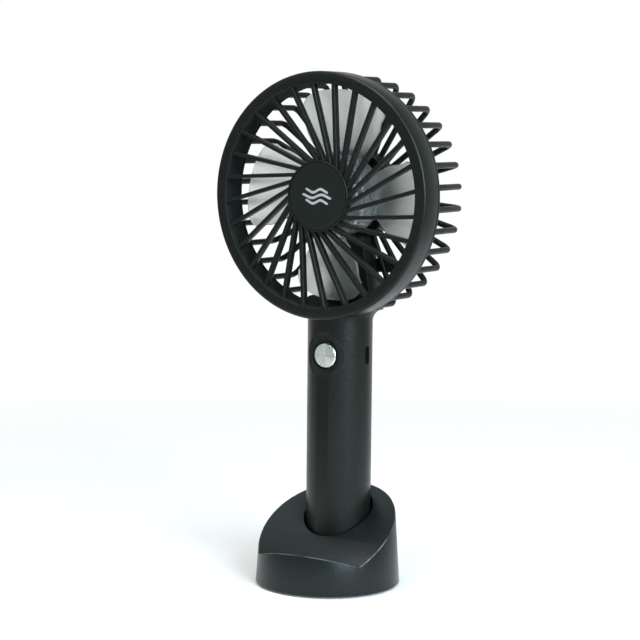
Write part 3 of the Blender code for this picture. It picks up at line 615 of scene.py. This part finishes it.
def bar_rings(degrees):
    """The rings of one bar, from the rim back, round its bend and in to the cup."""
    bend_steps, sides = 6, 14
    out, tangent, front = polar(1, degrees, 0), polar(1, degrees + 90, 0), Vector((0, 0, 1))
    bend_middle = out * (bar_circle - bar_bend) + front * (bar_depth + bar_bend)
    route = [(out * bar_circle + front * 8 * MM, out), (out * bar_circle + front * 2 * MM, out)]
    for step in range(bend_steps + 1):
        angle = math.radians(90 * step / bend_steps)
        side = out * math.cos(angle) - front * math.sin(angle)
        route.append((bend_middle + side * bar_bend, side))
    route.append((out * (cup_radius - cup_wall / 2) + front * bar_depth, -front))
    for middle, side in route:
        ring = []
        for corner in range(sides):
            angle = 2 * math.pi * corner / sides
            ring.append(middle + bar_radius * (side * math.cos(angle) + tangent * math.sin(angle)))
        yield ring


bm = bmesh.new()
for k in range(bar_count):
    if k not in bars_left_out:
        skin(bm, list(bar_rings(360 * k / bar_count)))
bars = new_piece("bars", bm, head_place)

rear_guard = turned("rear_cage", [
    (plug_inner, plug_front, 0.3 * MM), (plug_radius, plug_front, 0.3 * MM), (plug_radius, rim_front, 0),
    (ring_radius, rim_front, 0.15 * MM), (ring_radius, rim_back, 0.4 * MM),
    (ring_inner, rim_back, 0.3 * MM), (ring_inner, rim_front, 0), (plug_inner, rim_front, 0)],
    head_place, 256)
cup_inner = cup_radius - cup_wall
collar_inner, collar_radius, collar_front = 10.5 * MM, 12 * MM, -7 * MM
shaft_room = 6 * MM
cup = turned("cup", [
    (cup_radius, cup_front, 0.4 * MM), (cup_radius, -back_y, 0.5 * MM), (cup_inner, -back_y, 0.2 * MM),
    (cup_inner, floor_back, 0), (shaft_room, floor_back, 0), (shaft_room, floor_front, 0),
    (collar_inner, floor_front, 0), (collar_inner, collar_front, 0.3 * MM),
    (collar_radius, collar_front, 0.3 * MM), (collar_radius, floor_front, 0),
    (cup_inner, floor_front, 0), (cup_inner, cup_front, 0.4 * MM)], head_place, 128)

# The strut and web are drawn in the head's plane, then stood up and given depth along Y.
standing = Matrix.Translation((0, 0, head_z)) @ Matrix(
    ((1, 0, 0, 0), (0, 0, -1, 0), (0, 1, 0, 0), (0, 0, 0, 1)))
strut_front_y, strut_easing = 6 * MM, 4 * MM
top_half, foot_half = 6.6 * MM, 11 * MM
strut_top, strut_shoulder, strut_foot = -17.5 * MM, -43 * MM, -48.5 * MM
strut = flat_block("strut", [
    (-top_half, strut_top, 0), (top_half, strut_top, 0), (foot_half, strut_shoulder, strut_easing),
    (foot_half, strut_foot, 0), (-foot_half, strut_foot, 0), (-foot_half, strut_shoulder, strut_easing)],
    -back_y, -strut_front_y, standing)
edges_eased(strut, 0.7 * MM, 40, lambda place: head_z - 46 * MM < place.z < head_z - 18.5 * MM)
web_half, web_low, web_high, web_easing = 18.5 * MM, -33.3 * MM, -27.6 * MM, 0.8 * MM
web = flat_block("web", [(-web_half, web_low, web_easing), (web_half, web_low, web_easing),
                         (web_half, web_high, web_easing), (-web_half, web_high, web_easing)],
                 -16.4 * MM, -14.4 * MM, standing)

neck = flared_column("neck", [(112 + 0.4 * step) * MM for step in range(26)])
neck_front, neck_back, neck_top = 7.3 * MM, -14.5 * MM, 47 * MM
neck_room = turned("neck_room", [
    (neck_top, neck_front, 0), (ring_radius, neck_front, 0), (ring_radius, neck_back, 0.6 * MM),
    (neck_top, neck_back, 0)], head_place, 256)
combined(neck, neck_room, "INTERSECT")

# The peg stands down into the handle. It is cut clear of the ring in front and of the head above.
peg_radius, peg_bore_radius = 11.9 * MM, 10.3 * MM
spigot = turned("spigot", plain_rod(107.8 * MM, 115.6 * MM, peg_radius, peg_radius))
ring_room_radius = ring_radius + 0.3 * MM
ring_room = turned("ring_room", plain_rod(rim_front, 30 * MM, ring_room_radius, ring_room_radius),
                   head_place, 256)
combined(spigot, ring_room, "DIFFERENCE")
head_room = turned("head_room", plain_rod(-20 * MM, 20 * MM, 49 * MM, 49 * MM), head_place, 256)
combined(spigot, head_room, "DIFFERENCE")
for part in (bars, cup, strut, web, neck, spigot):
    combined(rear_guard, part, "UNION")
peg_bore = turned("peg_bore", plain_rod(100 * MM, 113.4 * MM, peg_bore_radius, peg_bore_radius))
combined(rear_guard, peg_bore, "DIFFERENCE")

# The leads' channel steps back as it rises, and the cover's tail is let in over it.
channel_half, seat_half = 2.4 * MM, 4.3 * MM
for name, front_y, rear_y, low_z, high_z, half in (
        ("channel", 7.3 * MM, 12.4 * MM, 110 * MM, head_z - 21 * MM, channel_half),
        ("channel_back", 12 * MM, 15.4 * MM, head_z - 42 * MM, head_z - 21 * MM, channel_half),
        ("channel_top", 13.8 * MM, 15.4 * MM, head_z - 22 * MM, head_z - 16 * MM, channel_half),
        ("cover_seat", 15 * MM, 20 * MM, head_z - 42 * MM, head_z - 12 * MM, seat_half)):
    corners = [(-half, low_z - head_z, 0), (half, low_z - head_z, 0), (half, high_z - head_z, 0),
               (-half, high_z - head_z, 0)]
    combined(rear_guard, flat_block(name, corners, -rear_y, -front_y, standing), "DIFFERENCE")
finished(rear_guard, guard_black, "fan", "black_plastic", "rear_guard")


# ---------------------------------------------------------------- rear cover
# A flat disc with a tail closes the back of the motor cup and the lead channel. It is pushed in
# flush and glued, with a fine shadow line all round.

cover_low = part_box("rear_cover")[0]
cover_radius = cup_inner - 0.3 * MM
recess_radius, recess_floor = 9.4 * MM, -back_y + 0.35 * MM
rear_cover = turned("rear_disc", [
    (0, -cover_low.y, 0), (cover_radius, -cover_low.y, 0), (cover_radius, -back_y, 0.3 * MM),
    (recess_radius, -back_y, 0.15 * MM), (9 * MM, recess_floor, 0.15 * MM), (0, recess_floor, 0)],
    head_place, 160)
tail_half, tail_low, tail_high = 4 * MM, cover_low.z - head_z, -12 * MM
tail = flat_block("tail", [(-tail_half, tail_low, 1 * MM), (tail_half, tail_low, 1 * MM),
                           (tail_half, tail_high, 0), (-tail_half, tail_high, 0)],
                  -back_y, -cover_low.y, standing)
edges_eased(tail, 0.25 * MM, 60)
combined(rear_cover, tail, "UNION")
finished(rear_cover, guard_black, "fan", "black_plastic", "rear_cover")


# ---------------------------------------------------------------- front guard
# One black moulding that twists off for cleaning: a rounded ring, twenty-eight flat ribs swept
# round from the ring to the hub, and the hub's shallow seat for the badge.

rib_count = 28
rib_phase = -4.4
rib_lead = 28
rib_half, rib_depth, rib_easing = 0.85 * MM, 3.0 * MM, 0.35 * MM
guard_front, guard_back = -head_low.y, 8.6 * MM
plug_room_inner, plug_room_radius, plug_room_floor = 48.2 * MM, 50.3 * MM, guard_front - 2.2 * MM
hub_radius, hub_wall = 14.9 * MM, 1.4 * MM
badge_low, badge_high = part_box("hub_badge")
badge_radius = (badge_high.x - badge_low.x) / 2
badge_seat = guard_front - 0.9 * MM

front_guard = turned("front_ring", [
    (ring_inner, guard_front, 0.45 * MM), (ring_radius, guard_front, 1.25 * MM),
    (ring_radius, guard_back, 0.2 * MM), (plug_room_radius, guard_back, 0),
    (plug_room_radius, plug_room_floor, 0), (plug_room_inner, plug_room_floor, 0),
    (plug_room_inner, guard_back, 0), (ring_inner, guard_back, 0.2 * MM)], head_place, 256)
bm = bmesh.new()
rib_outline = corners_rounded([(-rib_half, -rib_depth, 0.2 * MM), (rib_half, -rib_depth, 0.2 * MM),
                               (rib_half, 0, rib_easing), (-rib_half, 0, rib_easing)], 3)
rib_top = guard_front - 0.4 * MM
for k in range(rib_count):
    degrees = rib_phase + 360 * k / rib_count
    start = polar(ring_inner + 0.6 * MM, degrees, rib_top)
    end = polar(hub_radius - 0.3 * MM, degrees + rib_lead, rib_top)
    across = (end - start).cross(Vector((0, 0, 1))).normalized()
    skin(bm, [[place + across * p.x + Vector((0, 0, p.y)) for p in rib_outline] for place in (start, end)])
ribs = new_piece("ribs", bm, head_place)
seat_radius = badge_radius + 0.3 * MM
hub_back = guard_front - 4 * MM
hub = turned("hub", [
    (0, badge_seat, 0), (seat_radius, badge_seat, 0), (seat_radius, guard_front, 0.1 * MM),
    (hub_radius, guard_front, 0.35 * MM), (hub_radius, hub_back, 0.3 * MM),
    (hub_radius - hub_wall, hub_back, 0.2 * MM), (hub_radius - hub_wall, badge_seat - hub_wall, 0),
    (0, badge_seat - hub_wall, 0)], head_place, 160)
combined(front_guard, ribs, "UNION")
combined(front_guard, hub, "UNION")
finished(front_guard, guard_black, "guard", "black_plastic", "front_guard")


# ---------------------------------------------------------------- badge
# A thin black disc, slightly crowned, glued into the hub. It carries a plain mark of three
# printed waves in light grey, as thick as a coat of ink.

badge_face, badge_back = -badge_low.y, badge_seat + 0.3 * MM
crown = 0.12 * MM
badge_black = black_plastic("badge_black", (0.0080, 0.0108, 0.0086), 0.5 * MM, 0.004 * MM, 0.38)
badge = turned("badge", [
    (0, badge_back, 0), (badge_radius, badge_back, 0), (badge_radius, badge_face - 0.25 * MM, 0.12 * MM),
    (badge_radius - 0.5 * MM, badge_face - crown, 0.3 * MM),
    (badge_radius * 0.6, badge_face - crown / 3, 4 * MM), (0, badge_face - 0.02 * MM, 0)], head_place, 160)
finished(badge, badge_black, "guard", "badge_plastic", "hub_badge")


def printed_ink(name, colour):
    """A pad-printed coat of ink, a little thin in places."""
    made, place = new_material(name, {"Specular IOR Level": 0.4})
    thin = place.noise(0.6 * MM, 3.0).step(0.45, 0.8)
    feed(made, colour=thin.mix(colour, [c * 0.8 for c in colour]), roughness=0.5 + 0.12 * thin,
         normal=thin.bump(0.004 * MM))
    return made


wave_half_length, wave_swing, wave_gap, ink_half = 7.2 * MM, 0.7 * MM, 2.3 * MM, 0.55 * MM
wave_steps, outer_waves_shorter, ink_coat = 48, 0.22, 0.02 * MM
bm = bmesh.new()
for row in (-1, 0, 1):
    half_length = wave_half_length * (1 - outer_waves_shorter * abs(row))
    rings = []
    for step in range(wave_steps + 1):
        along = -1 + 2 * step / wave_steps
        x = half_length * along
        y = row * wave_gap + wave_swing * math.sin(1.5 * math.pi * along)
        half = ink_half * math.sqrt(max(1 - abs(along) ** 14, 0.02))
        low, high = badge_face - 0.2 * MM, badge_face + ink_coat
        rings.append([(x, y - half, low), (x, y + half, low), (x, y + half, high), (x, y - half, high)])
    skin(bm, rings)
mark = new_piece("badge_mark", bm, head_place)
finished(mark, printed_ink("light_grey_ink", (0.42, 0.43, 0.43)), "guard", "badge_plastic")


# ---------------------------------------------------------------- impeller
# The impeller is one moulding of smoky, slightly frosted plastic: a cup-shaped hub over the motor
# and four broad blades, each pitched so that its clockwise end lies nearer the motor.

impeller_front, impeller_back = -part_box("impeller")[0].y, -4 * MM
blade_count, blade_centre, blade_tip = 4, 5.0, 44.7 * MM
blade_thickness = 1.1 * MM
impeller_hub, hub_skin = 17 * MM, 1.5 * MM
bush_radius, bush_bore, bush_back = 2.8 * MM, 1.3 * MM, 4.8 * MM


def smoke_plastic():
    """Frosted smoky plastic that glows where light comes through it."""
    made, place = new_material("smoke_plastic", {
        "IOR": 1.45, "Transmission Weight": 0.88, "Specular IOR Level": 0.5})
    frost = place.noise(0.5 * MM, 2.0)
    cloud = place.noise(9 * MM, 2.0).step(0.25, 0.75)
    blade = place.reach((0, 0, head_z), (1, 0, 1)).step(impeller_hub, impeller_hub + 5 * MM)
    feed(made, colour=cloud.mix((0.92, 0.97, 0.95), (0.96, 0.985, 0.975)),
         roughness=0.13 + 0.24 * blade + 0.08 * frost, normal=frost.bump(0.006 * MM))
    return made


def blade_place(across, along):
    """A place on a blade's middle, as a radius, an angle from its centre line and a height.

    Across runs -1 to 1 clockwise and along 0 to 1 out to the tip, whose corners are rounded off.
    """
    tip_rounding, root_depth = 5.5 * MM, 0.9 * MM
    root_half_span, belly = 23, 6
    middle_height, root_pitch, untwist, forward_lean = 2.6 * MM, 5.6, 1.9, 1.6 * MM
    tip = blade_tip - tip_rounding * abs(across) ** 7
    root = impeller_hub - root_depth
    radius = root + (tip - root) * along
    half_span = root_half_span + belly * math.sin(math.pi * min(along, 0.85)) + 2 * along
    height = middle_height - across * (root_pitch - untwist * along) * MM + forward_lean * along
    return radius, half_span * across, height


bm = bmesh.new()
columns, rows = 28, 20
for k in range(blade_count):
    grid = bmesh.ops.create_grid(bm, x_segments=columns, y_segments=rows, size=1)
    for vertex in grid["verts"]:
        radius, degrees, height = blade_place(vertex.co.x, (vertex.co.y + 1) / 2)
        vertex.co = polar(radius, blade_centre + 90 * k + degrees, height)
blades = new_piece("blades", bm, head_place)
thick = blades.modifiers.new("thickness", "SOLIDIFY")
thick.thickness = blade_thickness
thick.offset = 0
graph = bpy.context.evaluated_depsgraph_get()
blades.data = bpy.data.meshes.new_from_object(blades.evaluated_get(graph))
blades.modifiers.clear()
edges_eased(blades, 0.32 * MM, 50)
hub_inner, hub_ceiling = impeller_hub - hub_skin, impeller_front - 1.6 * MM
bore_end = impeller_front - 0.6 * MM
impeller = turned("impeller_wheel", [
    (0, impeller_front, 0), (impeller_hub, impeller_front, 1.6 * MM),
    (impeller_hub, impeller_back, 0.4 * MM), (hub_inner, impeller_back, 0.4 * MM),
    (hub_inner, hub_ceiling, 0.8 * MM), (bush_radius, hub_ceiling, 0.4 * MM),
    (bush_radius, bush_back, 0.2 * MM), (bush_bore, bush_back, 0), (bush_bore, bore_end, 0),
    (0, bore_end, 0)], head_place, 160)
combined(impeller, blades, "UNION")
finished(impeller, smoke_plastic(), "spinner", "smoke_plastic", "impeller")


# ---------------------------------------------------------------- inner pieces
# The motor, the round cell with its tabs, the circuit board with its switch and socket, the leads
# and the chassis that holds them are bought-in or moulded pieces hidden in the cup and handle.


def even_plastic(name, colour, roughness, speck):
    """Plain coloured plastic with faint mottling."""
    made, place = new_material(name, {"Specular IOR Level": 0.5})
    mottle = place.noise(speck, 3.0).step(0.35, 0.7)
    feed(made, colour=mottle.mix(colour, [c * 0.78 for c in colour]), roughness=roughness + 0.1 * mottle,
         normal=mottle.bump(0.01 * MM))
    return made


dressed(steel, "motor_can", "motor_shaft", "motor_rotor")
dressed(zinc, "motor_screw_left", "motor_screw_right", "board_screw_upper", "board_screw_lower")
dressed(worn_metal("nickel", (0.60, 0.58, 0.53), 0.28, 0.1 * MM, (1, 1, 4)),
        "usb_socket", "battery_tab_lower", "battery_tab_upper")
dressed(even_plastic("board_green", (0.012, 0.13, 0.05), 0.35, 1.2 * MM), "circuit_board")
dressed(even_plastic("cell_wrap", (0.03, 0.16, 0.42), 0.3, 6 * MM), "battery_cell")
dressed(even_plastic("switch_white", (0.6, 0.6, 0.56), 0.45, 0.8 * MM),
        "tact_switch", "switch_plunger", "motor_end_cap")
dressed(even_plastic("lead_red", (0.45, 0.015, 0.015), 0.4, 0.7 * MM), "motor_lead_red")
dressed(even_plastic("lead_black", (0.02, 0.02, 0.02), 0.4, 0.7 * MM), "motor_lead_black")
dressed(handle_black, "handle_chassis", "button_body")


# ---------------------------------------------------------------- table, light and camera
# A pale table, a tall soft light to the right, weaker ones to the left and behind, one overhead,
# in a pale room that is brightest behind the fan.

table_radius = 6
bm = bmesh.new()
bmesh.ops.create_circle(bm, cap_ends=True, segments=96, radius=table_radius)
table = new_piece("table", bm)
view_turn, view_rise, view_roll = (math.radians(angle) for angle in (32.733, 6.138, 0.56))
behind_fan = (-math.sin(view_turn), math.cos(view_turn), 0)
room_front, room_back, room_top = (0.295, 0.325, 0.285), (1.0, 1.0, 1.0), (0.18, 0.20, 0.20)


def room_tone(direction):
    """The pale room's tone at the height of the horizon, brightest behind the fan."""
    behind = direction.vector("DOT_PRODUCT", behind_fan, "Value")
    return behind.step(0.30, 0.82).mix(room_front, room_back)


table_white, place = new_material("table_white", {"Specular IOR Level": 0.1, "Emission Strength": 1.0})
fibre = place.noise(2 * MM, 3.0)
away = place.vector("LENGTH", outlet="Value").step(0.12, 0.7)
outward = place.vector("NORMALIZE")
near_white = fibre.step(0.3, 0.7).mix((0.84, 0.84, 0.84), (0.87, 0.87, 0.87))
near_glow = (0.10, 0.09, 0.08)
feed(table_white, colour=away.mix(near_white, (0, 0, 0)), emission=away.mix(near_glow, room_tone(outward)),
     roughness=0.7 + 0.1 * fibre, normal=fibre.bump(0.01 * MM))
table.data.materials.append(table_white)
table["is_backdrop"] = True

view_from = (0.42958, -0.68441, 0.19914)
lens = bpy.data.cameras.new("camera")
lens.sensor_width = 36
lens.lens = 106.57
camera = bpy.data.objects.new("camera", lens)
bpy.context.scene.collection.objects.link(camera)
camera.matrix_world = (Matrix.Translation(view_from)
                       @ Matrix.Rotation(view_turn, 4, "Z")
                       @ Matrix.Rotation(math.pi / 2 - view_rise, 4, "X")
                       @ Matrix.Rotation(view_roll, 4, "Z"))
bpy.context.scene.camera = camera


def soft_light(name, turn, rise, distance, size, watts, colour, aim=(0, 0, 0.12)):
    """A square soft light, turned from -Y towards +X and raised, in degrees, that faces its aim."""
    data = bpy.data.lights.new(name, "AREA")
    data.shape = "RECTANGLE"
    data.size, data.size_y = size
    data.energy = watts
    data.color = colour
    light = bpy.data.objects.new(name, data)
    bpy.context.scene.collection.objects.link(light)
    turn, rise = math.radians(turn), math.radians(rise)
    out = Vector((math.sin(turn) * math.cos(rise), -math.cos(turn) * math.cos(rise), math.sin(rise)))
    light.location = Vector(aim) + out * distance
    light.rotation_euler = out.to_track_quat("Z", "Y").to_euler()


soft_light("right_light", 65, 22, 1.1, (0.62, 0.8), 19, (0.69, 0.88, 1.0))
soft_light("left_light", -40, 32, 1.2, (0.5, 0.8), 1.0, (1.0, 0.99, 0.92))
soft_light("top_light", 20, 78, 1.0, (0.8, 0.8), 9, (1.0, 1.0, 1.0))
soft_light("rear_light", -121, 51, 1.1, (0.7, 0.7), 1.1, (0.80, 0.97, 1.0))

room = bpy.data.worlds.new("room")
room.use_nodes = True
bpy.context.scene.world = room
around = Wire(room.node_tree).node("ShaderNodeTexCoord", {}, {}, "Generated")
glow = around.along("Z").step(0.1, 0.65).mix(room_tone(around), room_top)
room.node_tree.links.new(glow.socket, room.node_tree.nodes["Background"].inputs["Color"])
bpy.context.scene.view_settings.view_transform = "Standard"

[[list(corner) for corner in bounds] for bounds in (cad_bounds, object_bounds())]
